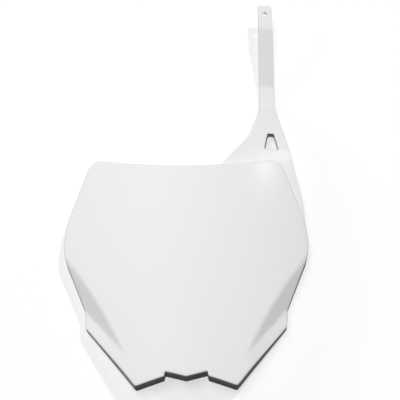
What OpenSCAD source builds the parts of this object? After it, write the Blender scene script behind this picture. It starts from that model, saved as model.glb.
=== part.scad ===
// Front number board of a motocross bike: one moulding of a crowned face with a
// return rim, a web that leaves the rim at one shoulder, and a hanging strap.
// X runs across the board, Z up it and +Y away from the face, towards the bike.
// Heights below are measured from the feet of the board, and depths back from
// the foremost line of its face. The origin is the middle of the bolt hole.

/* [Board outline] */
// Width of the board across its shoulders
board_w = 249; // [230:1:280]
// Height of the shoulders above the feet
shoulder_z = 146.5; // [138:0.5:160]
// Radius of each flank just below the shoulders
shoulder_r = 50; // [30:1:55]
// Radius of each flank above the shoulders
flank_r = 115; // [60:5:125]
// Distance between the two top corners
horn_w = 197; // [188:1:210]
// Height of the two top corners above the feet
horn_z = 239; // [228:0.5:255]
// Radius that rounds each top corner
horn_r = 12; // [4:1:16]
// Drop of the top edge at its middle, below the corners
top_dip = 13.5; // [4:0.5:20]
// Distance between the kinks where the flanks meet the wings
kink_w = 202; // [190:1:212]
// Height of the kinks above the feet
kink_z = 79.5; // [74:0.5:88]
// Distance between the lower corners of the wings
wing_w = 199; // [185:1:205]
// Height of those lower corners above the feet
wing_z = 61.5; // [55:0.5:68]
// Radius that rounds each wing's lower corner
wing_r = 4; // [1:0.5:8]
// Distance between the tips of the feet
foot_w = 98; // [86:1:112]
// Radius that rounds the tip of each foot
foot_r = 3; // [1:0.5:5]
// Width of the notch between the feet, at its mouth
notch_w = 43; // [34:1:56]
// Height of the notch's mouth above the feet
notch_z = 8.5; // [6:0.5:12]
// Rise of the step at each side of the notch
notch_rise = 4.5; // [3:0.5:8]
// Sideways run of that step
notch_run = 1.2; // [0.5:0.1:3]
// Drop of the shallow point in the middle of the notch
notch_dip = 5; // [2:0.5:7]

/* [Crowned face] */
// Radius of the face across the board
crown_r = 330; // [280:5:450]
// Radius of the face up and down the board
belly_r = 1400; // [900:50:2400]
// Height of the fullest line of the face above the feet
belly_z = 136; // [110:1:160]
// Thickness of the face and of the rim
wall = 2.5; // [1.8:0.1:3.5]
// Depth of the rim, from the face's front to the rim's edge
rim_depth = 21; // [15:0.5:24]
// Draft of the rim, which lets the board leave its mould
rim_draft = 2; // [0.5:0.5:4]

/* [Sunk wings] */
// How far each wing lies behind the face at the kink
wing_depth = 10; // [6:0.5:11]
// Turn of the wing, away from square to the view
wing_turn = 23; // [18:0.5:27]
// Steepness of the bevel that steps down to the wing
bevel_slope = 45; // [36:1:55]
// Lean of the bevel, from upright
bevel_lean = 25; // [21:1:29]

/* [Web and strap] */
// Place of the strap's root across the board
strap_x = 93.5; // [90:0.5:97]
// Depth of the web's front where the strap leaves it
web_y = 22; // [20:0.5:25]
// Turn of the web and the strap, so that they follow the crowned rim
web_turn = 11.5; // [9:0.5:14]
// Thickness of the web and the strap
strap_t = 2.8; // [2:0.1:3.5]
// Reach of the web from the strap towards the middle of the board
web_reach = 61.5; // [50:0.5:75]
// Distance of the web's inner bend from the strap's root, across the board
throat_x = 26; // [22:0.5:32]
// Height of that inner bend above the feet
throat_z = 269; // [258:1:275]
// Width of the strap at its root
strap_root_w = 17.2; // [14:0.2:20]
// Width of the strap at its tip
strap_tip_w = 15.4; // [12:0.2:18]
// Lean of the strap's rising stretch towards the middle of the board
strap_lean = 5.5; // [0:0.5:8]
// Height at which the web starts to bend back
bend_z = 239; // [236:1:246]
// Radius of that bend
neck_r = 150; // [130:5:190]
// Angle by which the neck bends back
neck_turn = 28; // [20:0.5:31]
// Length of the strap's straight seat above the neck
seat_l = 18; // [8:1:24]
// Angle by which the strap then rises forward
rise_turn = 20.5; // [8:0.5:26]
// Length of the rising stretch
rise_l = 61; // [40:1:75]
// Length of the straight tip
tip_l = 27; // [15:1:32]
// Diameter of the hole near the tip
strap_hole_d = 4.5; // [3.5:0.1:6]
// Distance of that hole from the tip
strap_hole_in = 11; // [8:0.5:12]
// Radius that rounds the two corners of the tip
tip_r = 2.5; // [1:0.5:5]

/* [Strap window] */
// Place of the window across the board
window_x = 90.5; // [88:0.5:93]
// Height of the window's lower edge above the feet
window_z = 253; // [250:0.5:257]
// Height of the window
window_h = 20; // [16:1:23]
// Width of the window at the bottom
window_w = 16; // [12:0.5:18]
// Width of the window at the top
window_top_w = 7; // [5:0.5:10]
// Depth of the collar behind the window's edges
collar_depth = 6; // [4:0.5:9]
// Thickness of that collar
collar_t = 2; // [1.5:0.1:2.5]

/* [Strap button] */
// Diameter of the button's neck, which the strap's hole snaps over
button_d = 4; // [3:0.1:4.4]
// Diameter of the button's head
head_d = 6.4; // [5.5:0.1:8]
// Height of the button's neck above the web
button_h = 3.4; // [2.5:0.1:5]
// Thickness of the button's head
head_t = 1.4; // [1:0.1:2]
// Distance of the button above the window
button_gap = 11; // [9:0.5:14]

/* [Bolt tab] */
// Height of the tab's underside above the feet
tab_z = 26; // [22:1:34]
// Width of the tab
tab_w = 34; // [26:1:44]
// Thickness of the tab
tab_t = 3.6; // [2.5:0.1:5]
// Depth of the bolt hole behind the foremost line of the face
bolt_y = 29; // [26:0.5:34]
// Diameter of the bolt hole
bolt_d = 6.5; // [5:0.1:8.5]
// Diameter of the boss round the bolt hole
boss_d = 18; // [14:0.5:22]
// Height of that boss above the tab
boss_h = 2.4; // [1:0.2:5]
// Height of the two gussets above the tab
gusset_h = 30; // [16:1:40]
// Thickness of each gusset
gusset_t = 2.2; // [1.6:0.1:3]

/* [Hidden] */

eps = 0.01;
// Steps in each rounded corner, flank, arc of the top edge and bend
ROUND_STEPS = 6;
FLANK_STEPS = 9;
TOP_STEPS = 16;
BEND_STEPS = 12;
// Reach of the blocks that cut the board, well past all of its edges
FAR = 400;
// The tapered block of the outline starts and ends this far from the foremost line
BLOCK_AHEAD = 2;
BLOCK_BEHIND = 90;
// Radii of the tight bends in the strap's side view
CREASE_R = 16;
RISE_R = 12;
// Radii that round the web's outline and the window's corners
WEB_ROOT_R = 40;
WEB_THROAT_R = 45;
WEB_FLANK_R = 150;
WEB_FOOT_R = 22;
// Bend of the web's outer edge, in from the flank and above the shoulder
HIP_IN = 3.5;
HIP_RISE = 51;
// Waist of that edge, in from the strap's side and below its root
WAIST_IN = 0.4;
WAIST_DROP = 13.5;
// The strap's root lies this far below the foot of its seat
ROOT_DROP = 7;
// Radius of the slight bends in the strap's long sides
SIDE_R = 60;
WINDOW_R = 1.2;
// The collar starts this far above the window's lower edge
COLLAR_LIFT = 3;
SMOOTH = 96;

half_w = board_w / 2;

// Depth of the crowned surface behind its foremost line
function crown_y(x, z, depth = 0) =
    let (ring = crown_r - belly_r + sqrt(pow(belly_r, 2) - pow(z - belly_z, 2)))
    depth + crown_r - sqrt(pow(ring, 2) - pow(x, 2));

// Points of an arc about a centre, from one angle to another
function arc(centre, r, from, to, steps) =
    [for (i = [0:steps]) let (a = from + (to - from) * i / steps) centre + r * [cos(a), sin(a)]];

// Rounds one corner of an outline; the radius is held to what its sides allow
function rounded(before, corner, after, r) =
    let (
        u = (before - corner) / norm(before - corner),
        v = (after - corner) / norm(after - corner),
        half = acos(max(-1, min(1, u * v))) / 2,
        room = 0.48 * min(norm(before - corner), norm(after - corner)),
        run = min(r / tan(half), room),
        fit_r = run * tan(half),
        centre = corner + (u + v) / norm(u + v) * fit_r / sin(half),
        a = corner + u * run - centre,
        b = corner + v * run - centre,
        from = atan2(a.y, a.x),
        turn = atan2(b.y, b.x) - from,
        to = from + (turn > 180 ? turn - 360 : turn < -180 ? turn + 360 : turn)
    )
    arc(centre, fit_r, from, to, ROUND_STEPS);

// Rounds every corner of a closed outline; each entry is [x, y, radius]
function round_outline(corners) =
    let (n = len(corners), p = [for (c = corners) [c.x, c.y]])
    [for (i = [0:n - 1], q = corners[i][2] > 0
        ? rounded(p[(i + n - 1) % n], p[i], p[(i + 1) % n], corners[i][2])
        : [p[i]]) q];

// Angle on a circle at which the line from an outside point touches it
function touch(centre, r, point, side) =
    let (d = point - centre) atan2(d.y, d.x) + side * acos(r / norm(d));

function mirrored(corners) = [for (i = [len(corners) - 1:-1:0]) [-corners[i].x, corners[i].y, corners[i][2]]];

// Each flank is two arcs that stand upright where they meet at the shoulder
kink = [kink_w / 2, kink_z];
horn = [horn_w / 2, horn_z];
lower = [half_w - shoulder_r, shoulder_z];
upper = [half_w - flank_r, shoulder_z];
lower_arc = arc(lower, shoulder_r, touch(lower, shoulder_r, kink, 1), 0, FLANK_STEPS);
upper_arc = arc(upper, flank_r, 0, touch(upper, flank_r, horn, -1), FLANK_STEPS);
flank = [for (i = [0:2 * FLANK_STEPS]) i < FLANK_STEPS ? lower_arc[i] : upper_arc[i - FLANK_STEPS]];

// Right half of the board's outline, from the notch up to the top corner
right_side = concat(
    [
        [notch_w / 2 - notch_run, notch_z + notch_rise, 0],
        [notch_w / 2, notch_z, 0],
        [foot_w / 2, 0, foot_r],
        [wing_w / 2, wing_z, wing_r],
        [kink.x, kink.y, 0]
    ],
    [for (p = flank) [p.x, p.y, 0]],
    [[horn.x, horn.y, horn_r]]
);
// The top edge is an arc that sags between the two corners
top_r = (pow(horn.x, 2) + pow(top_dip, 2)) / (2 * top_dip);
top_half = asin(horn.x / top_r);
top_arc = arc([0, horn_z - top_dip + top_r], top_r, -90 + top_half, -90 - top_half, TOP_STEPS);
function top_z(x) = horn_z - top_dip + top_r - sqrt(pow(top_r, 2) - pow(x, 2));
top_edge = [for (i = [1:TOP_STEPS - 1]) [top_arc[i].x, top_arc[i].y, 0]];
outline = concat(
    [[0, notch_z + notch_rise - notch_dip, 0]], right_side, top_edge, mirrored(right_side)
);

// Side view of the web and the strap, as a walk up the sheet: straight
// stretches and arcs, each [length or radius, turn], from low in the board
sheet_start_z = shoulder_z;
walk = [
    [bend_z - sheet_start_z, 0],
    [neck_r, neck_turn],
    [CREASE_R, -neck_turn],
    [seat_l, 0],
    [RISE_R, -rise_turn],
    [rise_l, 0],
    [RISE_R, rise_turn],
    [tip_l, 0]
];

// One stretch of the walk as [y, z, heading] points after its start
function stretch(at, step) =
    step[1] == 0
    ? [[at.x + step[0] * sin(at[2]), at.y + step[0] * cos(at[2]), at[2]]]
    : let (r = step[0] * sign(step[1]))
      [for (i = [1:BEND_STEPS]) let (h = at[2] + step[1] * i / BEND_STEPS)
          [at.x + r * (cos(at[2]) - cos(h)), at.y + r * (sin(h) - sin(at[2])), h]];
function follow(steps, i = 0, path = [[0, sheet_start_z, 0]]) =
    i == len(steps) ? path : follow(steps, i + 1, concat(path, stretch(path[len(path) - 1], steps[i])));
side_path = follow(walk);
tip = side_path[len(side_path) - 1];
// Offsets a point of the walk backwards, square to its heading
function beside(at, d) = [at.x + d * cos(at[2]), at.y - d * sin(at[2])];

// Depth of the web's front on its first bend, and the place of its button
function neck_y(z) = neck_r - sqrt(pow(neck_r, 2) - pow(max(z - bend_z, 0), 2));
button_z = window_z + window_h + button_gap;
web_slope = tan(web_turn);
function web_front(x, z) = web_y + (x - strap_x) * web_slope + neck_y(z);

module board_area(inset = 0) {
    offset(delta = -inset) polygon(round_outline(outline));
}

// Everything within the board's outline, brought in by an inset. It widens
// towards the back by the draft, and has its true size at the shoulders' depth.
module outline_block(inset = 0) {
    true_y = crown_y(half_w, shoulder_z);
    widening = tan(rim_draft) / half_w;
    front = 1 - (true_y + BLOCK_AHEAD) * widening;
    back = 1 + (BLOCK_BEHIND - true_y) * widening;
    translate([0, -BLOCK_AHEAD, shoulder_z]) rotate([90, 0, 0]) mirror([0, 0, 1])
        linear_extrude(BLOCK_AHEAD + BLOCK_BEHIND, scale = back / front)
            scale(front) translate([0, -shoulder_z]) board_area(inset);
}

// Everything behind the crowned surface, sunk by a depth
module behind_crown(depth = 0) {
    translate([0, crown_r + depth, 0]) rotate([0, 0, 180]) rotate_extrude($fn = 240)
        intersection() {
            translate([crown_r - belly_r, belly_z]) circle(r = belly_r, $fn = 1440);
            translate([0, belly_z - FAR / 2]) square([crown_r + 1, FAR]);
        }
}

// Everything in front of a wing and outside its bevel, brought in by an inset
module wing_cut(inset = 0) {
    x = kink_w / 2;
    translate([x, crown_y(x, kink_z, wing_depth), kink_z]) intersection() {
        rotate([0, bevel_lean, 0]) rotate([0, 0, -bevel_slope])
            translate([-inset, -FAR / 2, -FAR / 2]) cube(FAR);
        rotate([0, 0, wing_turn]) translate([-FAR / 2, inset - FAR, -FAR / 2]) cube(FAR);
    }
}

// The board's outer form, or its hollow when brought in by the wall
module board_form(inset = 0) {
    difference() {
        intersection() {
            outline_block(inset);
            behind_crown(inset);
        }
        wing_cut(inset);
        mirror([1, 0, 0]) wing_cut(inset);
    }
}

module shell() {
    difference() {
        board_form();
        behind_crown(rim_depth);
        board_form(wall);
    }
}

// Puts a flat sheet's own frame on the turned plane of the web
module on_web() {
    translate([strap_x, web_y, 0]) rotate([0, 0, web_turn]) children();
}

module web_area() {
    right = strap_root_w / 2;
    tip_x = -strap_lean;
    tip_half = strap_tip_w / 2;
    seat_z = bend_z + (neck_r + CREASE_R) * sin(neck_turn);
    root_z = seat_z - ROOT_DROP;
    toe_z = seat_z + seat_l;
    flank_x = (half_w - strap_x) / cos(web_turn);
    foot_x = web_reach + WEB_FOOT_R;
    polygon(round_outline([
        [flank_x - 0.5, shoulder_z + 10, 0],
        [flank_x - HIP_IN, shoulder_z + HIP_RISE, WEB_FLANK_R],
        [right - WAIST_IN, root_z - WAIST_DROP, WEB_FLANK_R],
        [right, toe_z, SIDE_R],
        [tip_x + tip_half, tip.y - tip_l, SIDE_R],
        [tip_x + tip_half, tip.y, tip_r],
        [tip_x - tip_half, tip.y, tip_r],
        [tip_x - tip_half, tip.y - tip_l, SIDE_R],
        [-right, toe_z, SIDE_R],
        [-right, root_z, WEB_ROOT_R],
        [-throat_x, throat_z, WEB_THROAT_R],
        [-web_reach, top_z(strap_x - web_reach), WEB_FOOT_R],
        [-foot_x, top_z(strap_x - foot_x) - eps, 0],
        [-foot_x, shoulder_z + 10, 0]
    ]));
}

// Everything behind the sheet, from one depth within it to another
module sheet_layer(from, to) {
    translate([-FAR / 2, 0, 0]) rotate([90, 0, 90]) linear_extrude(FAR)
        polygon(concat(
            [for (at = side_path) beside(at, from)],
            [for (i = [len(side_path) - 1:-1:0]) beside(side_path[i], to)]
        ));
}

// The web and the strap are one bent sheet, cut to their front outline
module bent_sheet() {
    on_web() intersection() {
        translate([0, FAR / 2, 0]) rotate([90, 0, 0]) linear_extrude(FAR) web_area();
        sheet_layer(0, strap_t);
    }
}

module window_area(grow = 0) {
    offset(delta = grow) offset(r = WINDOW_R, $fn = SMOOTH) offset(delta = -WINDOW_R)
        translate([window_x, window_z]) polygon([
            [-window_w / 2, 0], [window_w / 2, 0],
            [window_top_w / 2, window_h], [-window_top_w / 2, window_h]
        ]);
}

// A three sided collar stands behind the window's top and sides
module collar() {
    intersection() {
        on_web() sheet_layer(strap_t / 2, strap_t + collar_depth);
        translate([0, FAR / 2, 0]) rotate([90, 0, 0]) linear_extrude(FAR) intersection() {
            window_area(collar_t);
            translate([window_x - window_w, window_z + COLLAR_LIFT])
                square([2 * window_w, window_h + collar_t]);
        }
    }
}

module strap_button() {
    seat = web_front(window_x, button_z) + strap_t / 2;
    translate([window_x, seat, button_z]) rotate([-90, 0, 0]) {
        cylinder(d = button_d, h = strap_t / 2 + button_h + eps, $fn = SMOOTH);
        translate([0, 0, strap_t / 2 + button_h]) cylinder(d = head_d, h = head_t, $fn = SMOOTH);
    }
}

module strap_hole() {
    on_web() translate([-strap_lean, tip.x, tip.y - strap_hole_in]) rotate([-90, 0, 0])
        translate([0, 0, -strap_t]) cylinder(d = strap_hole_d, h = 3 * strap_t, $fn = SMOOTH);
}

// The tab and its gussets run forward until they meet the back of the face
module bolt_tab() {
    intersection() {
        behind_crown(wall / 2);
        union() {
            translate([0, 0, tab_z]) linear_extrude(tab_t) {
                translate([-tab_w / 2, 0]) square([tab_w, bolt_y - boss_d / 4]);
                hull() {
                    translate([0, bolt_y]) circle(d = boss_d + 2, $fn = SMOOTH);
                    translate([-tab_w / 2, bolt_y - boss_d / 2]) square([tab_w, boss_d / 4]);
                }
            }
            translate([0, bolt_y, tab_z]) cylinder(d = boss_d, h = tab_t + boss_h, $fn = SMOOTH);
            for (side = [-1, 1])
                translate([side * (tab_w / 2 - gusset_t / 2) + gusset_t / 2, 0, tab_z])
                    rotate([90, 0, -90]) linear_extrude(gusset_t)
                        polygon([[0, 0], [-bolt_y + boss_d / 2, 0], [-bolt_y + boss_d / 2, tab_t],
                            [-wall * 2, tab_t + gusset_h], [0, tab_t + gusset_h]]);
        }
    }
}

module number_board() {
    color("white") translate([0, -bolt_y, -tab_z - tab_t / 2]) difference() {
        union() {
            shell();
            difference() {
                bent_sheet();
                outline_block(wall / 2);
            }
            collar();
            strap_button();
            bolt_tab();
        }
        translate([0, FAR / 2, 0]) rotate([90, 0, 0]) linear_extrude(FAR) window_area();
        strap_hole();
        translate([0, bolt_y, 0]) cylinder(d = bolt_d, h = tab_z + tab_t + 2 * boss_h, $fn = SMOOTH);
    }
}

number_board();
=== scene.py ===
"""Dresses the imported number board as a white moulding, with its camera, light and backdrop.

The board is built in millimetres in its own frame: X across it, Z up from its feet and Y back
from the foremost line of its face. The last step of each piece turns that into metres in the row
frame, whose origin is the middle of the bolt hole.
"""

import logging
import math
from collections.abc import Callable, Iterable, Sequence
from dataclasses import dataclass, field
from enum import Enum
import bmesh
import bpy
import numpy as np
from mathutils import Matrix, Vector
from mathutils.geometry import delaunay_2d_cdt


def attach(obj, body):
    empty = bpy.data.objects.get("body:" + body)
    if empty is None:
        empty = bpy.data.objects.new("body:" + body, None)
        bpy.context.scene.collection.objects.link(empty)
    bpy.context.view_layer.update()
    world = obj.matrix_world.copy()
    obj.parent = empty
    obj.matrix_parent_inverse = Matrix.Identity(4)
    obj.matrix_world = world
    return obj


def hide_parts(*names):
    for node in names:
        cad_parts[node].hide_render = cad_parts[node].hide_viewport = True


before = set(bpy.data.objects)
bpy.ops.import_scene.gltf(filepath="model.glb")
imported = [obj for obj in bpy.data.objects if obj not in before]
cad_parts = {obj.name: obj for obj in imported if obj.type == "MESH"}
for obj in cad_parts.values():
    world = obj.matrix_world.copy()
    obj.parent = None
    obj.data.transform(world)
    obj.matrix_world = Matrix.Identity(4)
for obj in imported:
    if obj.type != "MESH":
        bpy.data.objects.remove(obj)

LOG = logging.getLogger("number_board")
NODE = "number_board"
MM = 0.001
# Points of two surfaces that are closer than this are one point
MERGE_MM = 0.005
# The same for the points of a flat filling
FILL_MERGE_MM = 1e-5
# Distance that a filling's own points keep from the rings round it
RING_CLEAR_MM = 1.1
# A corner that turns less than this, in radians, stays sharp
STRAIGHT_TURN = 1e-4
# Share of a side that the rounding of one of its corners may take
SIDE_SHARE = 0.48
# Longest stretch of an outline that is never divided
UNDIVIDED = 1e6
# Points whose distances are worked out at once
BATCH = 64

Surface = Callable[[np.ndarray, np.ndarray], np.ndarray]
Warp = Callable[[np.ndarray], np.ndarray]
Input = bpy.types.NodeSocket | bpy.types.Material | tuple[float, ...] | float
Inputs = dict[str | int, Input]


class Side(Enum):
    """A side of the board, as the sign of its X."""

    LEFT = -1
    RIGHT = 1


class Rim(Enum):
    """Whether an outline bounds material from outside or from inside."""

    OUTER = 1
    HOLE = -1


class Facing(Enum):
    """The side from which a filled surface is seen, as the order of its triangles' corners."""

    FRONT = 1
    BACK = -1


@dataclass(frozen=True)
class Corner:
    """A corner of an outline, with the radius that rounds it."""

    x: float
    z: float
    r: float = 0.0


@dataclass(frozen=True)
class Outline:
    """A closed outline that runs anticlockwise and can be brought in or let out.

    Every version of it has the same number of points, so that two of them can be joined by a
    strip of faces.
    """

    corners: tuple[Corner, ...]
    arc_steps: int = 8
    longest: float = 3.0

    def _rounded(self, inset: float) -> np.ndarray:
        """Returns the outline's corners, rounded and brought in by an inset.

        Args:
            inset: Distance towards the inside; a negative one lets the outline out.

        Returns:
            An array of [x, z] rows.
        """
        at = np.array([[c.x, c.z] for c in self.corners], float)
        points: list[np.ndarray] = []
        for i, corner in enumerate(self.corners):
            before, here, after = at[i - 1], at[i], at[(i + 1) % len(at)]
            into = (here - before) / np.linalg.norm(here - before)
            out = (after - here) / np.linalg.norm(after - here)
            left_in, left_out = np.array([-into[1], into[0]]), np.array([-out[1], out[0]])
            bisector = (left_in + left_out) / (1 + left_in @ left_out)
            sharp = here + bisector * inset
            turn = math.atan2(into[0] * out[1] - into[1] * out[0], into @ out)
            if corner.r <= 0 or abs(turn) < STRAIGHT_TURN:
                points.append(sharp)
                continue
            tangent = math.tan(abs(turn) / 2)
            sides = np.linalg.norm(here - before), np.linalg.norm(after - here)
            room = SIDE_SHARE * min(sides)
            radius = min(corner.r * tangent, room) / tangent
            bend = math.copysign(1.0, turn)
            centre = here + bisector * radius * bend
            reach = radius - bend * inset
            start = math.atan2(-bend * left_in[1], -bend * left_in[0])
            for step in range(self.arc_steps + 1):
                angle = start + turn * step / self.arc_steps
                swung = centre + max(reach, 0) * np.array([math.cos(angle), math.sin(angle)])
                points.append(swung if reach > 0 else sharp)
        return np.array(points)

    def loop(self, inset: float = 0.0) -> np.ndarray:
        """Returns the outline with its long stretches divided.

        Args:
            inset: Distance towards the inside.

        Returns:
            An array of [x, z] rows, of the same length for every inset.
        """
        base, moved = self._rounded(0.0), self._rounded(inset)
        points: list[np.ndarray] = []
        for i, here in enumerate(base):
            j = (i + 1) % len(base)
            parts = max(1, math.ceil(float(np.linalg.norm(base[j] - here)) / self.longest))
            points += [moved[i] + (moved[j] - moved[i]) * part / parts for part in range(parts)]
        return np.array(points)


def circle(x: float, z: float, radius: float, steps: int = 40) -> Outline:
    """Returns a round outline.

    Args:
        x: Place of its middle.
        z: Height of its middle.
        radius: Its radius.
        steps: Number of its points.

    Returns:
        The outline, which the circle touches from inside.
    """
    angles = [2 * math.pi * i / steps for i in range(steps)]
    reach = radius / math.cos(math.pi / steps)
    corners = tuple(Corner(x + reach * math.cos(a), z + reach * math.sin(a)) for a in angles)
    return Outline(corners, longest=2 * radius)


def inside(loops: Sequence[np.ndarray], points: np.ndarray) -> np.ndarray:
    """Tells which points lie inside an outer loop and outside its holes.

    Args:
        loops: Closed loops of [x, z] rows.
        points: An array of [x, z] rows.

    Returns:
        An array of booleans.
    """
    odd = np.zeros(len(points), bool)
    for loop in loops:
        for a, b in zip(loop, np.roll(loop, -1, axis=0)):
            spans = (a[1] > points[:, 1]) != (b[1] > points[:, 1])
            rise = b[1] - a[1] if b[1] != a[1] else 1.0
            odd ^= spans & (points[:, 0] < (b[0] - a[0]) * (points[:, 1] - a[1]) / rise + a[0])
    return odd


def distance_to(loops: Sequence[np.ndarray], points: np.ndarray) -> np.ndarray:
    """Measures how far points are from the nearest of some loops' own points.

    Args:
        loops: Closed loops of [x, z] rows.
        points: An array of [x, z] rows.

    Returns:
        An array of distances.
    """
    marks = np.concatenate(loops)
    nearest = np.full(len(points), np.inf)
    for first in range(0, len(marks), BATCH):
        gaps = points[:, None, :] - marks[None, first : first + BATCH, :]
        nearest = np.minimum(nearest, np.sqrt((gaps**2).sum(-1)).min(1))
    return nearest


def hexagonal(low: np.ndarray, high: np.ndarray, spacing: float) -> np.ndarray:
    """Spreads points evenly over a rectangle, in staggered rows.

    Args:
        low: Its lower left corner.
        high: Its upper right corner.
        spacing: Distance between neighbours.

    Returns:
        An array of [x, z] rows.
    """
    rows = []
    # Neighbours in two rows make equilateral triangles
    heights = np.arange(low[1], high[1], spacing * math.sqrt(0.75))
    for i, height in enumerate(heights):
        across = np.arange(low[0] + (i % 2) * spacing / 2, high[0], spacing)
        rows.append(np.stack([across, np.full_like(across, height)], -1))
    return np.concatenate(rows)


@dataclass(frozen=True)
class Ring:
    """One line round a moulding's edge: an inset of its outline, and a depth on a surface."""

    inset: float
    surface: Surface
    lift: float = 0.0


def quarter_turn(steps: int) -> list[float]:
    """Returns the angles of a quarter turn, in even steps."""
    return [math.pi / 2 * i / steps for i in range(steps + 1)]


def convex_turn(radius: float, front: Surface, steps: int = 5) -> list[Ring]:
    """Rings that round the edge from a moulding's front over to its side wall."""
    turn = quarter_turn(steps)
    return [Ring(radius * (1 - math.sin(a)), front, radius * (1 - math.cos(a))) for a in turn]


def closing_turn(radius: float, back: Surface, steps: int = 4) -> list[Ring]:
    """Rings that round the edge from a side wall over to the moulding's back."""
    turn = quarter_turn(steps)
    return [Ring(radius * (1 - math.cos(a)), back, -radius * (1 - math.sin(a))) for a in turn]


@dataclass(frozen=True)
class Bound:
    """An outline that bounds a slab, with the radii that round its front and its rear edge."""

    outline: Outline
    rim: Rim
    front_r: float
    back_r: float
    warp: Warp | None = None
    turn_steps: int = 3

    def rings(self, front: Surface, back: Surface) -> list[Ring]:
        """Draws the rings that go round the slab's edge.

        Args:
            front: Depth of the slab's front.
            back: Depth of its back.

        Returns:
            The rings from front to back.
        """
        sharp, steps = [Ring(0, front)], self.turn_steps
        first = convex_turn(self.front_r, front, steps) if self.front_r else sharp
        return [*first, *closing_turn(self.back_r, back, steps)]


@dataclass
class Skin:
    """A closed mesh grown from outlines: two filled faces and the walls between them."""

    verts: list[tuple[float, float, float]] = field(default_factory=list)
    faces: list[tuple[int, ...]] = field(default_factory=list)

    def line(self, outline: Outline, rim: Rim, ring: Ring, warp: Warp | None = None) -> np.ndarray:
        """Returns one ring's points.

        Args:
            outline: The outline that it follows.
            rim: Whether that outline is the outer one or a hole.
            ring: Its inset and depth.
            warp: Moves the points sideways, as a draft or a slant needs.

        Returns:
            An array of [x, y, z] rows.
        """
        loop = outline.loop(ring.inset * rim.value)
        depth = ring.surface(loop[:, 0], loop[:, 1]) + ring.lift
        points = np.stack([loop[:, 0], depth, loop[:, 1]], -1)
        return warp(points) if warp else points

    def wall(self, rings: Sequence[np.ndarray], rim: Rim) -> None:
        """Adds the strips of faces that join rings of points.

        Args:
            rings: The rings from front to back, as [x, y, z] rows.
            rim: Whether they bound material from outside or from inside.
        """
        start, count = len(self.verts), len(rings[0])
        self.verts += [tuple(p) for ring in rings for p in ring]
        for level in range(len(rings) - 1):
            near, far = start + level * count, start + (level + 1) * count
            for i in range(count):
                j = (i + 1) % count
                quad = (near + i, far + i, far + j, near + j)
                self.faces.append(quad if rim is Rim.OUTER else quad[::-1])

    def fill(
        self,
        bounds: Sequence[np.ndarray],
        surface: Surface,
        inner: np.ndarray,
        facing: Facing,
    ) -> None:
        """Adds a surface that is bounded by rings of points.

        Args:
            bounds: The outer ring and the holes, as [x, y, z] rows.
            surface: Depth of the points between them.
            inner: Points that may be used between them, as [x, z] rows.
            facing: The side from which it is seen.
        """
        loops = [ring[:, [0, 2]] for ring in bounds]
        kept = inner[inside(loops, inner)]
        kept = kept[distance_to(loops, kept) > RING_CLEAR_MM]
        flat = np.concatenate([*loops, kept])
        edges, first = [], 0
        for loop in loops:
            count = len(loop)
            edges += [(first + i, first + (i + 1) % count) for i in range(count)]
            first += count
        made = delaunay_2d_cdt([Vector(p) for p in flat], edges, [], 0, FILL_MERGE_MM)
        points, _, cut, sources, *_ = made
        places, triangles = np.array([[v.x, v.y] for v in points]), np.array(cut)
        depths = surface(places[:, 0], places[:, 1])
        known = {i: given[0] for i, given in enumerate(sources) if given}
        ringed = np.concatenate(bounds)
        start = len(self.verts)
        for i, place in enumerate(places):
            source = known.get(i, len(ringed))
            on_ring = source < len(ringed)
            depth = ringed[source][1] if on_ring else depths[i]
            self.verts.append((place[0], depth, place[1]))
        middles = places[triangles].mean(1)
        for triangle in triangles[inside(loops, middles)]:
            order = triangle[:: facing.value]
            self.faces.append(tuple(int(start + i) for i in order))

    def slab(
        self,
        bounds: Sequence[Bound],
        front: Surface,
        back: Surface,
        spacing: float = 0.0,
    ) -> None:
        """Adds a slab of material between two surfaces, with rounded edges.

        Args:
            bounds: The outer bound and the holes.
            front: Depth of its front.
            back: Depth of its back.
            spacing: Distance between the points inside its front and its back, 0 for none.
        """
        fronts, backs = [], []
        for bound in bounds:
            rings = bound.rings(front, back)
            lines = [self.line(bound.outline, bound.rim, ring, bound.warp) for ring in rings]
            self.wall(lines, bound.rim)
            fronts.append(lines[0])
            backs.append(lines[-1])
        low, high = fronts[0].min(0)[[0, 2]], fronts[0].max(0)[[0, 2]]
        inner = hexagonal(low, high, spacing) if spacing else np.zeros((0, 2))
        self.fill(fronts, front, inner, Facing.FRONT)
        self.fill(backs, back, inner, Facing.BACK)

    def mesh(self, name: str, place: Matrix, crease_deg: float = 38.0) -> bpy.types.Mesh:
        """Turns the skin into a smooth mesh in the row frame.

        Args:
            name: The mesh's name.
            place: Turns the skin's own frame into the row frame.
            crease_deg: Turn between two faces past which their edge stays sharp.

        Returns:
            The mesh.
        """
        mesh = bpy.data.meshes.new(name)
        mesh.from_pydata(self.verts, [], self.faces)
        work = bmesh.new()
        work.from_mesh(mesh)
        bmesh.ops.remove_doubles(work, verts=work.verts, dist=MERGE_MM)
        bmesh.ops.dissolve_degenerate(work, edges=work.edges, dist=MERGE_MM)
        if work.calc_volume(signed=True) < 0:
            bmesh.ops.reverse_faces(work, faces=work.faces)
        open_edges = sum(1 for edge in work.edges if not edge.is_manifold)
        LOG.info("%s: %d faces, %d open edges", name, len(work.faces), open_edges)
        work.transform(place)
        work.to_mesh(mesh)
        work.free()
        mesh.shade_smooth()
        mesh.set_sharp_from_angle(angle=math.radians(crease_deg))
        return mesh


def soft_max(a: np.ndarray, b: np.ndarray, reach: float) -> np.ndarray:
    """Returns the larger of two depths, blended where they are closer than a reach."""
    blend = np.maximum(reach - np.abs(a - b), 0) / reach
    return np.maximum(a, b) + blend**2 * reach / 4


def soft_min(a: np.ndarray, b: np.ndarray, reach: float) -> np.ndarray:
    """Returns the smaller of two depths, blended where they are closer than a reach."""
    return -soft_max(-a, -b, reach)


def level(depth: float) -> Surface:
    """Returns the flat surface at a depth."""
    return lambda x, z: np.full_like(x, depth)


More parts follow.
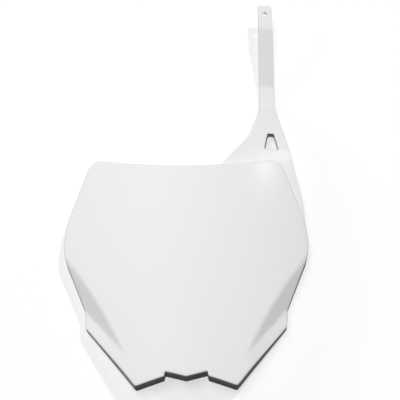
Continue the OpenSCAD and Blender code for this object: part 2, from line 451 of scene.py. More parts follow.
@dataclass(frozen=True)
class Tree:
    """A node tree, to which nodes are added together with what goes into them."""

    group: bpy.types.NodeTree

    def add(self, kind: str, inputs: Inputs | None = None, **settings: str) -> bpy.types.Node:
        """Adds a node.

        Args:
            kind: Blender's name for the node.
            inputs: For an input's name or place, another node's output or a value.
            settings: The node's own settings.

        Returns:
            The node.
        """
        node = self.group.nodes.new(kind)
        for name, value in settings.items():
            setattr(node, name, value)
        for key, value in (inputs or {}).items():
            if isinstance(value, bpy.types.NodeSocket):
                self.group.links.new(value, node.inputs[key])
            else:
                node.inputs[key].default_value = value
        return node

    def maths(self, operation: str, first: Input, second: Input) -> bpy.types.NodeSocket:
        """Adds a sum of two inputs and returns its result."""
        return self.add("ShaderNodeMath", {0: first, 1: second}, operation=operation).outputs[0]


def new_material(name: str) -> tuple[bpy.types.Material, Tree]:
    """Makes a material.

    Args:
        name: Its name.

    Returns:
        The material, and its tree with nothing in it.
    """
    material = bpy.data.materials.new(name)
    material.use_nodes = True
    material.node_tree.nodes.clear()
    return material, Tree(material.node_tree)


def add_object(name: str, data: bpy.types.ID) -> bpy.types.Object:
    """Puts an object into the scene.

    Args:
        name: Its name.
        data: Its mesh, light or camera.

    Returns:
        The object, at the origin.
    """
    made = bpy.data.objects.new(name, data)
    bpy.context.scene.collection.objects.link(made)
    return made


def grey(white: float) -> tuple[float, float, float, float]:
    """Returns a plain grey."""
    return (white, white, white, 1.0)


@dataclass(frozen=True)
class Sizes:
    """Driving sizes of the moulding, in millimetres and degrees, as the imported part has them."""

    board_w: float = 249
    shoulder_z: float = 146.5
    shoulder_r: float = 50
    flank_r: float = 115
    horn_w: float = 197
    horn_z: float = 239
    horn_r: float = 12
    top_dip: float = 13.5
    kink_w: float = 202
    kink_z: float = 79.5
    wing_w: float = 199
    wing_z: float = 61.5
    wing_r: float = 4
    foot_w: float = 98
    foot_r: float = 3
    notch_w: float = 43
    notch_z: float = 8.5
    notch_rise: float = 4.5
    notch_run: float = 1.2
    notch_dip: float = 5
    crown_r: float = 330
    belly_r: float = 1400
    belly_z: float = 136
    wall: float = 2.5
    rim_depth: float = 21
    rim_draft: float = 2
    wing_depth: float = 10
    wing_turn: float = 23
    bevel_slope: float = 45
    bevel_lean: float = 25
    strap_x: float = 93.5
    web_y: float = 22
    web_turn: float = 11.5
    strap_t: float = 2.8
    web_reach: float = 61.5
    throat_x: float = 26
    throat_z: float = 269
    strap_root_w: float = 17.2
    strap_tip_w: float = 15.4
    strap_lean: float = 5.5
    bend_z: float = 239
    neck_r: float = 150
    neck_turn: float = 28
    seat_l: float = 18
    rise_turn: float = 20.5
    rise_l: float = 61
    tip_l: float = 27
    strap_hole_d: float = 4.5
    strap_hole_in: float = 11
    tip_r: float = 2.5
    window_x: float = 90.5
    window_z: float = 253
    window_h: float = 20
    window_w: float = 16
    window_top_w: float = 7
    collar_depth: float = 6
    collar_t: float = 2
    button_d: float = 4
    head_d: float = 6.4
    button_h: float = 3.4
    head_t: float = 1.4
    button_gap: float = 11
    tab_z: float = 26
    tab_w: float = 34
    tab_t: float = 3.6
    bolt_y: float = 29
    bolt_d: float = 6.5
    boss_d: float = 18
    boss_h: float = 2.4
    gusset_h: float = 30
    gusset_t: float = 2.2
    crease_r: float = 16
    rise_r: float = 12
    web_root_r: float = 40
    web_throat_r: float = 45
    web_flank_r: float = 150
    web_foot_r: float = 22
    hip_in: float = 3.5
    hip_rise: float = 51
    waist_in: float = 0.4
    waist_drop: float = 13.5
    root_drop: float = 7
    side_r: float = 60
    window_r: float = 1.2
    collar_lift: float = 3

    @property
    def half_w(self) -> float:
        """Half of the board's width."""
        return self.board_w / 2

    @property
    def to_row(self) -> Matrix:
        """Turns millimetres in the board's frame into metres in the row frame."""
        middle = Vector((0, -self.bolt_y, -self.tab_z - self.tab_t / 2))
        return Matrix.Scale(MM, 4) @ Matrix.Translation(middle)


@dataclass(frozen=True)
class Face:
    """The crowned face: its outline, its depth and the two sunk wings."""

    size: Sizes
    # Reach of the soft creases above and below the bevels, in millimetres of depth
    upper_crease: float = 1.5
    lower_crease: float = 1.0
    # The photograph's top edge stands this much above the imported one, and its corners are rounder
    top_rise: float = 2.2
    corner_r: float = 21.0
    # The sagging edge keeps this share of the corner's radius away from the corner
    corner_clear: float = 1.2
    # Radii of the flanks' kinks and of the notch's corners
    kink_r: float = 6.0
    notch_r: float = 0.5
    # Radii of the front edge, of the rim's rear edges and of the rim's root inside
    edge_r: float = 1.2
    lip_r: float = 0.6
    root_r: float = 1.4
    root_steps: int = 4
    # Distance between the mesh's points, away from the creases and by them
    coarse: float = 3.2
    fine: float = 1.5
    # Distance over which a slope is measured, and depth before the crown at which a wing begins
    slope_step: float = 0.25
    wing_start: float = 1.0

    def crown(self, x: np.ndarray, z: np.ndarray) -> np.ndarray:
        """Works out the plain crowned surface.

        Args:
            x: Places across the board.
            z: Heights.

        Returns:
            Its depths.
        """
        s = self.size
        ring = s.crown_r - s.belly_r + np.sqrt(s.belly_r**2 - (z - s.belly_z) ** 2)
        return s.crown_r - np.sqrt(ring**2 - x**2)

    def wing_planes(self, x: np.ndarray, z: np.ndarray) -> tuple[np.ndarray, np.ndarray]:
        """Works out the two planes of a wing.

        Args:
            x: Places across the board.
            z: Heights.

        Returns:
            The depths of the bevel's plane and of the wing's plane.
        """
        s = self.size
        across = np.abs(x) - s.kink_w / 2
        kink_x, kink_z = np.array([s.kink_w / 2]), np.array([s.kink_z])
        depth = self.crown(kink_x, kink_z)[0] + s.wing_depth
        lean, slope = math.radians(s.bevel_lean), math.radians(s.bevel_slope)
        along = across * math.cos(lean) - (z - s.kink_z) * math.sin(lean)
        wing = depth + across * math.tan(math.radians(s.wing_turn))
        return depth + along / math.tan(slope), wing

    def front(self, x: np.ndarray, z: np.ndarray) -> np.ndarray:
        """Returns the depth of the front, with its wings sunk and its creases softened."""
        sunk = soft_min(*self.wing_planes(x, z), self.lower_crease)
        return soft_max(self.crown(x, z), sunk, self.upper_crease)

    def back(self, x: np.ndarray, z: np.ndarray) -> np.ndarray:
        """Works out the face's back, a wall's thickness square to the front.

        Args:
            x: Places across the board.
            z: Heights.

        Returns:
            Its depths.
        """
        step = self.slope_step
        across = (self.front(x + step, z) - self.front(x - step, z)) / (2 * step)
        upward = (self.front(x, z + step) - self.front(x, z - step)) / (2 * step)
        return self.front(x, z) + self.size.wall * np.sqrt(1 + across**2 + upward**2)

    def rim_edge(self, x: np.ndarray, z: np.ndarray) -> np.ndarray:
        """Returns the depth of the rim's rear edge."""
        return self.crown(x, z) + self.size.rim_depth

    def drafted(self, points: np.ndarray) -> np.ndarray:
        """Widens a ring with its depth by the draft, about the shoulders' own depth.

        Args:
            points: The ring, as [x, y, z] rows.

        Returns:
            The widened ring.
        """
        s = self.size
        true_y = self.crown(np.array([s.half_w]), np.array([s.shoulder_z]))[0]
        widening = math.tan(math.radians(s.rim_draft)) / s.half_w
        factor = 1 + (points[:, 1] - true_y) * widening
        raised = s.shoulder_z + (points[:, 2] - s.shoulder_z) * factor
        return np.stack([points[:, 0] * factor, points[:, 1], raised], -1)

    def top_z(self, x: float) -> float:
        """Works out the sagging top edge.

        Args:
            x: Place across the board.

        Returns:
            The edge's height there.
        """
        s = self.size
        radius = ((s.horn_w / 2) ** 2 + s.top_dip**2) / (2 * s.top_dip)
        return s.horn_z - s.top_dip + radius - math.sqrt(radius**2 - x**2)

    @staticmethod
    def _touch(centre: Vector, radius: float, point: Vector, side: Side) -> float:
        """Returns the angle at which a line from an outside point touches a circle."""
        away = point - centre
        return math.atan2(away.y, away.x) + side.value * math.acos(radius / away.length)

    def _flank(self, horn_z: float, steps: int = 16) -> list[Corner]:
        """Draws the two arcs of the right flank, from its kink up to its top corner.

        Args:
            horn_z: Height of the top corner.
            steps: Steps in each arc.

        Returns:
            The corners of both arcs.
        """
        s = self.size
        low = Vector((s.half_w - s.shoulder_r, s.shoulder_z))
        high = Vector((s.half_w - s.flank_r, s.shoulder_z))
        first = self._touch(low, s.shoulder_r, Vector((s.kink_w / 2, s.kink_z)), Side.RIGHT)
        last = self._touch(high, s.flank_r, Vector((s.horn_w / 2, horn_z)), Side.LEFT)
        points = []
        for i in range(2 * steps + 1):
            upper = i >= steps
            centre, radius = (high, s.flank_r) if upper else (low, s.shoulder_r)
            angle = last * (i - steps) / steps if upper else first * (steps - i) / steps
            across, upward = radius * math.cos(angle), radius * math.sin(angle)
            points.append(Corner(centre.x + across, centre.y + upward))
        return points

    def outline(
        self, rise: float = 0.0, corner_r: float | None = None, top_steps: int = 24
    ) -> Outline:
        """Draws the board's outline, from the notch round by the right side.

        Args:
            rise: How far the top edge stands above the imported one.
            corner_r: Radius of the two top corners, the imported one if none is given.
            top_steps: Steps along the top edge.

        Returns:
            The outline.
        """
        s = self.size
        horn = Corner(s.horn_w / 2, s.horn_z + rise, corner_r or s.horn_r)
        right = [
            Corner(s.notch_w / 2 - s.notch_run, s.notch_z + s.notch_rise, self.notch_r),
            Corner(s.notch_w / 2, s.notch_z, self.notch_r),
            Corner(s.foot_w / 2, 0, s.foot_r),
            Corner(s.wing_w / 2, s.wing_z, s.wing_r),
            Corner(s.kink_w / 2, s.kink_z, self.kink_r),
            *self._flank(horn.z),
            horn,
        ]
        left = [Corner(-c.x, c.z, c.r) for c in reversed(right)]
        clear = s.horn_w / 2 - self.corner_clear * horn.r
        across = [clear * (1 - 2 * i / top_steps) for i in range(top_steps + 1)]
        top = [Corner(x, self.top_z(x) + rise) for x in across]
        middle = Corner(0, s.notch_z + s.notch_rise - s.notch_dip)
        return Outline((middle, *right, *top, *left))

    def mesh(self) -> bpy.types.Mesh:
        """Builds the face and its rim as one closed skin.

        Returns:
            The mesh.
        """
        s, outline, skin = self.size, self.outline(self.top_rise, self.corner_r), Skin()
        lip = closing_turn(self.lip_r, self.rim_edge)
        turned = [Ring(s.wall - ring.inset, self.rim_edge, ring.lift) for ring in reversed(lip)]
        root = []
        for angle in quarter_turn(self.root_steps):
            inset, lift = self.root_r * (1 - math.cos(angle)), self.root_r * (1 - math.sin(angle))
            root.append(Ring(s.wall + inset, self.back, lift))
        rings = [*convex_turn(self.edge_r, self.front), *lip, *turned, *root]
        lines = [skin.line(outline, Rim.OUTER, ring, self.drafted) for ring in rings]
        skin.wall(lines, Rim.OUTER)
        low, high = lines[0].min(0)[[0, 2]], lines[0].max(0)[[0, 2]]
        coarse, fine = hexagonal(low, high, self.coarse), hexagonal(low, high, self.fine)
        inner = np.concatenate([coarse[~self._creased(coarse)], fine[self._creased(fine)]])
        skin.fill([lines[0]], self.front, inner, Facing.FRONT)
        skin.fill([lines[-1]], self.back, inner, Facing.BACK)
        return skin.mesh("shell", s.to_row)

    def _creased(self, points: np.ndarray) -> np.ndarray:
        """Tells which points lie by a crease, where the mesh is finer.

        Args:
            points: An array of [x, z] rows.

        Returns:
            An array of booleans.
        """
        x, z = points[:, 0], points[:, 1]
        crown, (bevel, wing) = self.crown(x, z), self.wing_planes(x, z)
        cut = np.minimum(bevel, wing)
        lower = (np.abs(bevel - wing) < 2 * self.lower_crease) & (cut > crown - self.wing_start)
        return (np.abs(crown - cut) < 2 * self.upper_crease) | lower


@dataclass(frozen=True)
class Strap:
    """The web and the hanging strap: one bent sheet with a window and a hole."""

    size: Sizes
    face: Face
    # Radii of the edges all round, at the window, at the hole, behind the collar and on the button
    edge_r: float = 0.7
    window_edge_r: float = 0.4
    hole_edge_r: float = 0.35
    collar_edge_r: float = 0.5
    button_edge_r: float = 0.35
    button_root_r: float = 0.6
    # Distance between the mesh's points
    spacing: float = 2.4
    # The web ends this far above the shoulders and this far inside the flank
    foot_rise: float = 10.0
    flank_in: float = 0.5
    # The web has its own seam from this far above its lower end, where it is wide enough
    seam_start: float = 15.0
    # The web's far end stands this far below the top edge, so that the seam starts there
    seam_drop: float = 0.01
    # Lean of the window's left wall, so that it shows from the front
    window_lean_deg: float = 7.0

    @property
    def slant(self) -> float:
        """Sideways run, on the turned sheet, of a wall that runs straight back."""
        return math.tan(math.radians(self.size.web_turn))

    def slanted(self, points: np.ndarray) -> np.ndarray:
        """Moves a ring sideways with its depth, so that its wall runs straight back."""
        return points + np.outer(points[:, 1] * self.slant, [1, 0, 0])

    def windowed(self, points: np.ndarray) -> np.ndarray:
        """Moves a ring as slanted does, with the wall at the window's left side leaning in.

        Args:
            points: The ring, as [x, y, z] rows.

        Returns:
            The moved ring.
        """
        lean = math.tan(math.radians(self.window_lean_deg))
        from_middle = points[:, 0] - self.on_sheet(self.size.window_x)
        share = np.clip(-from_middle / (self.size.window_top_w / 2), 0, 1)
        behind = points[:, 1] - self.layer(0)(points[:, 0], points[:, 2])
        moved = self.slanted(points)
        moved[:, 0] += share * behind * lean
        return moved

    def path(self, bend_steps: int = 24) -> np.ndarray:
        """Walks up the sheet's side view.

        Args:
            bend_steps: Steps in each bend.

        Returns:
            An array of [depth, height, heading] rows, headings in radians.
        """
        s = self.size
        legs = [
            (s.bend_z - s.shoulder_z, 0.0),
            (s.neck_r, s.neck_turn),
            (s.crease_r, -s.neck_turn),
            (s.seat_l, 0.0),
            (s.rise_r, -s.rise_turn),
            (s.rise_l, 0.0),
            (s.rise_r, s.rise_turn),
            (s.tip_l, 0.0),
        ]
        rows = [(0.0, s.shoulder_z, 0.0)]
        for reach, turn in legs:
            depth, height, heading = rows[-1]
            if turn == 0:
                run, rise = math.sin(heading), math.cos(heading)
                rows.append((depth + reach * run, height + reach * rise, heading))
                continue
            radius = math.copysign(reach, turn)
            for i in range(1, bend_steps + 1):
                to = heading + math.radians(turn) * i / bend_steps
                run = radius * (math.cos(heading) - math.cos(to))
                rise = radius * (math.sin(to) - math.sin(heading))
                rows.append((depth + run, height + rise, to))
        return np.array(rows)

    def layer(self, behind: float) -> Surface:
        """Offsets the sheet's front.

        Args:
            behind: Distance behind it.

        Returns:
            The surface at that distance.
        """
        path = self.path()
        depths = path[:, 0] + behind * np.cos(path[:, 2])
        heights = path[:, 1] - behind * np.sin(path[:, 2])
        return lambda x, z: np.interp(z, heights, depths)

    def _seam(self, reach: float, low_z: float) -> list[Corner]:
        """Draws the line on the turned sheet along which it ends inside the board's rim.

        Args:
            reach: Distance of its far end from the strap, along the board's top edge.
            low_z: Height of its other end, on the flank.

        Returns:
            The line's corners, from the far end on.
        """
        s = self.size
        loop = self.face.outline().loop(s.wall / 2)
        depth = s.web_y + (loop[:, 0] - s.strap_x) * self.slant
        rim = self.face.drafted(np.stack([loop[:, 0], depth, loop[:, 1]], -1))
        along = self.on_sheet(rim[:, 0])
        kept = (along > -reach) & (rim[:, 2] > low_z + self.seam_start)
        return [Corner(u, z) for u, z in zip(along[kept][::-1], rim[kept][::-1, 2])]

    def outline(self) -> Outline:
        """Draws the sheet's outline on its own turned plane.

        Returns:
            The outline.
        """
        s, path = self.size, self.path()
        tip_z = float(path[-1, 1])
        seat_z = s.bend_z + (s.neck_r + s.crease_r) * math.sin(math.radians(s.neck_turn))
        root_z, toe_z, tip_low = seat_z - s.root_drop, seat_z + s.seat_l, tip_z - s.tip_l
        tip_half = s.strap_tip_w / 2
        half, lean = s.strap_root_w / 2, -s.strap_lean
        flank_x = (s.half_w - s.strap_x) / math.cos(math.radians(s.web_turn))
        foot_x, low_z = s.web_reach + s.web_foot_r, s.shoulder_z + self.foot_rise
        return Outline(
            (
                Corner(flank_x - self.flank_in, low_z),
                Corner(flank_x - s.hip_in, s.shoulder_z + s.hip_rise, s.web_flank_r),
                Corner(half - s.waist_in, root_z - s.waist_drop, s.web_flank_r),
                Corner(half, toe_z, s.side_r),
                Corner(lean + tip_half, tip_low, s.side_r),
                Corner(lean + tip_half, tip_z, s.tip_r),
                Corner(lean - tip_half, tip_z, s.tip_r),
                Corner(lean - tip_half, tip_low, s.side_r),
                Corner(-half, toe_z, s.side_r),
                Corner(-half, root_z, s.web_root_r),
                Corner(-s.throat_x, s.throat_z, s.web_throat_r),
                Corner(-s.web_reach, self.face.top_z(s.strap_x - s.web_reach), s.web_foot_r),
                Corner(-foot_x, self.face.top_z(s.strap_x - foot_x) - self.seam_drop),
                *self._seam(foot_x, low_z),
            )
        )

    def on_sheet(self, x: float | np.ndarray) -> float | np.ndarray:
        """Returns the place on the turned sheet, at its front plane, of a place on the board."""
        return (x - self.size.strap_x) / math.cos(math.radians(self.size.web_turn))

    def window(self, grow: float = 0.0) -> Outline:
        """Draws the window's outline on the turned sheet.

        Args:
            grow: Distance by which it is let out.

        Returns:
            The outline.
        """
        s = self.size
        middle, shrink = self.on_sheet(s.window_x), math.cos(math.radians(s.web_turn))
        low, top = s.window_w / 2 / shrink, s.window_top_w / 2 / shrink
        sharp = (
            Corner(middle - low, s.window_z),
            Corner(middle + low, s.window_z),
            Corner(middle + top, s.window_z + s.window_h),
            Corner(middle - top, s.window_z + s.window_h),
        )
        places = Outline(sharp, longest=UNDIVIDED).loop(-grow)
        return self._small(Corner(float(x), float(z), s.window_r + grow) for x, z in places)

    @staticmethod
    def _small(corners: Iterable[Corner]) -> Outline:
        """Returns a small outline, with fewer steps in its arcs and shorter stretches."""
        return Outline(tuple(corners), arc_steps=4, longest=2.0)

    @property
    def place(self) -> Matrix:
        """Turns the sheet's own frame, which faces a little to the side, into the row frame."""
        s, turned = self.size, Matrix.Rotation(math.radians(self.size.web_turn), 4, "Z")
        return s.to_row @ Matrix.Translation((s.strap_x, s.web_y, 0)) @ turned

    def mesh(self) -> bpy.types.Mesh:
        """Builds the web and the strap as one closed skin.

        Returns:
            The mesh.
        """
        s, skin = self.size, Skin()
        hole_z = float(self.path()[-1, 1]) - s.strap_hole_in
        hole = circle(-s.strap_lean, hole_z, s.strap_hole_d / 2)
        edge, window_edge, hole_edge = self.edge_r, self.window_edge_r, self.hole_edge_r
        bounds = [
            Bound(self.outline(), Rim.OUTER, edge, edge),
            Bound(self.window(), Rim.HOLE, window_edge, window_edge, self.windowed),
            Bound(hole, Rim.HOLE, hole_edge, hole_edge),
        ]
        skin.slab(bounds, self.layer(0), self.layer(s.strap_t), self.spacing)
        return skin.mesh("strap", self.place)

    def collar(self) -> bpy.types.Mesh:
        """Builds the wall that stands behind the window's top and sides.

        Returns:
            The mesh.
        """
        s, skin = self.size, Skin()
        front, back = self.layer(s.strap_t / 2), self.layer(s.strap_t + s.collar_depth)
        inner, outer = self.window().corners, self.window(s.collar_t).corners
        start = s.window_z + s.collar_lift

        def cut(low: Corner, high: Corner) -> Corner:
            """Returns the point of a side at which the collar starts."""
            share = (start - low.z) / (high.z - low.z)
            return Corner(low.x + (high.x - low.x) * share, start)

        path = (
            cut(outer[1], outer[2]),
            Corner(outer[2].x, outer[2].z, s.window_r + s.collar_t),
            Corner(outer[3].x, outer[3].z, s.window_r + s.collar_t),
            cut(outer[0], outer[3]),
            cut(inner[0], inner[3]),
            Corner(inner[3].x, inner[3].z, s.window_r),
            Corner(inner[2].x, inner[2].z, s.window_r),
            cut(inner[1], inner[2]),
        )
        bound = Bound(self._small(path), Rim.OUTER, 0.0, self.collar_edge_r, self.windowed)
        skin.slab([bound], front, back)
        return skin.mesh("collar", self.place)

    def _button_profile(self, turn_steps: int = 4) -> list[tuple[float, float]]:
        """Draws half of the button's section.

        Args:
            turn_steps: Steps in each rounding of the head.

        Returns:
            Points as distances from the axis and from the back of the web.
        """
        s, root, round_r = self.size, self.button_root_r, self.button_edge_r
        neck, head = s.button_d / 2, s.head_d / 2 - round_r
        base, top = s.button_h, s.button_h + s.head_t
        profile = [(neck + root, -s.strap_t / 2), (neck + root, 0.0), (neck, root), (neck, base)]
        for angle in quarter_turn(turn_steps):
            out, up = round_r * math.sin(angle), round_r * (1 - math.cos(angle))
            profile.append((head + out, base + up))
        for angle in quarter_turn(turn_steps):
            out, down = round_r * math.cos(angle), round_r * (1 - math.sin(angle))
            profile.append((head + out, top - down))
        return profile

    def button(self, steps: int = 40) -> bpy.types.Mesh:
        """Turns the button that takes the strap's hole, on the back of the web.

        Args:
            steps: Steps round its axis.

        Returns:
            The mesh.
        """
        s, profile, skin = self.size, self._button_profile(), Skin()
        for radius, height in profile:
            for i in range(steps):
                angle = 2 * math.pi * i / steps
                skin.verts.append((radius * math.cos(angle), height, radius * math.sin(angle)))
        last = (len(profile) - 1) * steps
        for near in range(0, last, steps):
            for i in range(steps):
                j, far = (i + 1) % steps, near + steps
                skin.faces.append((near + i, near + j, far + j, far + i))
        skin.faces.append(tuple(range(steps)))
        skin.faces.append(tuple(reversed(range(last, last + steps))))
        height = s.window_z + s.window_h + s.button_gap
        rise = max(height - s.bend_z, 0)
        bent = s.neck_r - math.sqrt(s.neck_r**2 - rise**2)
        depth = s.web_y + (s.window_x - s.strap_x) * self.slant + bent + s.strap_t
        return skin.mesh("button", s.to_row @ Matrix.Translation((s.window_x, depth, height)))


@dataclass(frozen=True)
class BoltTab:
    """The tab behind the board's foot, with its boss, its bolt hole and two gussets."""

    size: Sizes
    face: Face
    # Radii of the plates' edges, of the bolt hole's edge and of the gussets' edges and bend
    edge_r: float = 0.5
    hole_edge_r: float = 0.3
    gusset_edge_r: float = 0.35
    gusset_bend_r: float = 1.0
    gusset_count: int = 2
    # How far the tab's round end stands outside the boss
    end_margin: float = 1.0

    def _wall_y(self, x: float, z: float) -> float:
        """Returns a depth inside the face's wall."""
        return float(self.face.crown(np.array([x]), np.array([z]))[0]) + self.size.wall / 2

    @property
    def place(self) -> Matrix:
        """Lays a skin flat, so that its depth runs down from the tab's upper side."""
        s, flat = self.size, Matrix.Rotation(math.radians(-90), 4, "X")
        return s.to_row @ Matrix.Translation((0, 0, s.tab_z + s.tab_t)) @ flat

    def _plate(self, outline: Outline, top: float, bottom: float) -> Skin:
        """Builds a flat plate with the bolt hole through it.

        Args:
            outline: Its outline, seen from above.
            top: Depth of its upper side below the tab's.
            bottom: Depth of its lower side below the tab's.

        Returns:
            The plate's skin.
        """
        s, skin = self.size, Skin()
        hole = circle(0, s.bolt_y, s.bolt_d / 2)
        bounds = [
            Bound(outline, Rim.OUTER, self.edge_r, self.edge_r),
            Bound(hole, Rim.HOLE, self.hole_edge_r, self.hole_edge_r),
        ]
        skin.slab(bounds, level(top), level(bottom))
        return skin

    def tab(self, end_steps: int = 20) -> bpy.types.Mesh:
        """Builds the tab's plate.

        Args:
            end_steps: Steps round its end.

        Returns:
            The mesh.
        """
        s = self.size
        near = self._wall_y(0, s.tab_z)
        side, end_r = s.tab_w / 2, s.boss_d / 2 + self.end_margin
        square_y = s.bolt_y - s.boss_d / 4
        away = Vector((side, square_y)) - Vector((0, s.bolt_y))
        touch = math.atan2(away.y, away.x) + math.acos(end_r / away.length)
        corners = [Corner(-side, near), Corner(side, near), Corner(side, square_y)]
        for i in range(end_steps + 1):
            angle = touch + (math.pi - 2 * touch) * i / end_steps
            corners.append(Corner(end_r * math.cos(angle), s.bolt_y + end_r * math.sin(angle)))
        outline = Outline((*corners, Corner(-side, square_y)))
        return self._plate(outline, 0.0, s.tab_t).mesh("tab", self.place)

    def boss(self, steps: int = 56) -> bpy.types.Mesh:
        """Builds the raised boss round the bolt hole.

        Args:
            steps: Steps round it.

        Returns:
            The mesh.
        """
        s = self.size
        outline = circle(0, s.bolt_y, s.boss_d / 2, steps)
        return self._plate(outline, -s.boss_h, s.tab_t / 2).mesh("boss", self.place)

    def _blade(self) -> bpy.types.Mesh:
        """Builds one gusset, standing on the middle plane of the board.

        Returns:
            The mesh.
        """
        s, skin = self.size, Skin()
        foot, top = s.tab_z + s.tab_t / 2, s.tab_z + s.tab_t + s.gusset_h
        # Seen from the side, the blade's own X runs back and its depth runs across
        corners = (
            Corner(self._wall_y(s.tab_w / 2, foot), foot),
            Corner(s.bolt_y - s.boss_d / 2, foot),
            Corner(s.bolt_y - s.boss_d / 2, s.tab_z + s.tab_t, self.gusset_bend_r),
            Corner(2 * s.wall, top),
            Corner(self._wall_y(s.tab_w / 2, top), top),
        )
        outline, edge = Outline(corners, longest=2 * s.gusset_h), self.gusset_edge_r
        bound = Bound(outline, Rim.OUTER, edge, edge)
        skin.slab([bound], level(-s.gusset_t / 2), level(s.gusset_t / 2))
        return skin.mesh("gusset", s.to_row @ Matrix.Rotation(math.radians(90), 4, "Z"))

    def gussets(self, finish: bpy.types.Material) -> bpy.types.Mesh:
        """Sets a gusset at each side of the tab with Geometry Nodes.

        Args:
            finish: The material that the tree sets on them.

        Returns:
            Both gussets as one mesh.
        """
        s = self.size
        group = bpy.data.node_groups.new("Gussets", "GeometryNodeTree")
        sockets = {
            name: group.interface.new_socket(name, in_out="INPUT", socket_type=kind)
            for name, kind in (
                ("Geometry", "NodeSocketGeometry"),
                ("Count", "NodeSocketInt"),
                ("Spread", "NodeSocketFloat"),
            )
        }
        group.interface.new_socket("Geometry", in_out="OUTPUT", socket_type="NodeSocketGeometry")
        tree = Tree(group)
        given = tree.add("NodeGroupInput").outputs
        right = tree.maths("MULTIPLY", given["Spread"], 0.5)
        left = tree.maths("MULTIPLY", given["Spread"], -0.5)
        start, end = (tree.add("ShaderNodeCombineXYZ", {"X": x}).outputs[0] for x in (left, right))
        ends = {"Count": given["Count"], "Start Location": start, "Offset": end}
        row = tree.add("GeometryNodeMeshLine", ends, mode="END_POINTS").outputs["Mesh"]
        placed = {"Points": row, "Instance": given["Geometry"]}
        instances = tree.add("GeometryNodeInstanceOnPoints", placed).outputs["Instances"]
        real = tree.add("GeometryNodeRealizeInstances", {"Geometry": instances}).outputs[0]
        dressed = tree.add("GeometryNodeSetMaterial", {"Geometry": real, "Material": finish})
        tree.add("NodeGroupOutput", {"Geometry": dressed.outputs["Geometry"]})
        blade = add_object("gusset", self._blade())
        modifier = blade.modifiers.new("Gussets", "NODES")
        modifier.node_group = group
        modifier[sockets["Count"].identifier] = self.gusset_count
        modifier[sockets["Spread"].identifier] = (s.tab_w - s.gusset_t) * MM
        baked = bake(blade)
        bpy.data.objects.remove(blade)
        return baked


def bake(piece: bpy.types.Object) -> bpy.types.Mesh:
    """Returns the mesh that an object's modifiers make."""
    seen = piece.evaluated_get(bpy.context.evaluated_depsgraph_get())
    return bpy.data.meshes.new_from_object(seen)


@dataclass(frozen=True)
class MouldedPolypropylene:
    """White polypropylene as it leaves the mould: even, with a slight sheen."""

    colour: tuple[float, float, float] = (0.83, 0.815, 0.82)
    roughness: float = 0.26
    ior: float = 1.49
    # The grain of the mould: its patches in a metre, its share and its depth in metres
    grain_per_m: float = 2600.0
    grain_detail: float = 2.0
    grain_strength: float = 0.02
    grain_depth: float = 0.0002

    def material(self) -> bpy.types.Material:
        """Builds the material.

        Returns:
            The material.
        """
        material, tree = new_material("white_polypropylene")
        places = tree.add("ShaderNodeTexCoord").outputs["Object"]
        pattern = {"Vector": places, "Scale": self.grain_per_m, "Detail": self.grain_detail}
        grain = tree.add("ShaderNodeTexNoise", pattern).outputs["Fac"]
        relief = {"Height": grain, "Strength": self.grain_strength, "Distance": self.grain_depth}
        look = {
            "Base Color": (*self.colour, 1.0),
            "Roughness": self.roughness,
            "IOR": self.ior,
            "Normal": tree.add("ShaderNodeBump", relief).outputs["Normal"],
        }
        plastic = tree.add("ShaderNodeBsdfPrincipled", look).outputs[0]
        tree.add("ShaderNodeOutputMaterial", {"Surface": plastic})
        return material


@dataclass(frozen=True)
class Backdrop:
    """The white table that the board lies on, seen as a plain upright sheet behind it."""

    depth: float = 0.0172
    reach: float = 6.0
    whiteness: float = 0.40
    glow: float = 0.583
    bounce: float = 0.03
    # Share of the white that the plastic's sheen picks up
    sheen_share: float = 0.10

    def material(self) -> bpy.types.Material:
        """Builds a finish that is white to the camera, dark to bounced light and clear from behind.

        Returns:
            The material.
        """
        material, tree = new_material("white_backdrop")
        path = tree.add("ShaderNodeLightPath").outputs
        lit = tree.add("ShaderNodeBsdfDiffuse", {"Color": grey(self.whiteness)}).outputs[0]
        glow = tree.add("ShaderNodeEmission", {"Strength": self.glow}).outputs[0]
        white = tree.add("ShaderNodeAddShader", {0: lit, 1: glow}).outputs[0]
        dull = tree.add("ShaderNodeBsdfDiffuse", {"Color": grey(self.bounce)}).outputs[0]
        sheen = tree.maths("MULTIPLY", path["Is Glossy Ray"], self.sheen_share)
        seen = tree.maths("MAXIMUM", path["Is Camera Ray"], sheen)
        seen_through = tree.maths("MAXIMUM", seen, path["Is Transmission Ray"])
        front = tree.add("ShaderNodeMixShader", {0: seen_through, 1: dull, 2: white}).outputs[0]
        behind = tree.add("ShaderNodeNewGeometry").outputs["Backfacing"]
        unseen = tree.maths("MAXIMUM", behind, path["Is Shadow Ray"])
        clear = tree.add("ShaderNodeBsdfTransparent").outputs[0]
        sheet = tree.add("ShaderNodeMixShader", {0: unseen, 1: front, 2: clear}).outputs[0]
        tree.add("ShaderNodeOutputMaterial", {"Surface": sheet})
        return material

    def build(self) -> bpy.types.Object:
        """Returns:
            The sheet.
        """
        r, y = self.reach, self.depth
        mesh = bpy.data.meshes.new("backdrop")
        mesh.from_pydata([(-r, y, -r), (r, y, -r), (r, y, r), (-r, y, r)], [], [(0, 1, 2, 3)])
        mesh.materials.append(self.material())
        sheet = add_object("backdrop", mesh)
        return sheet


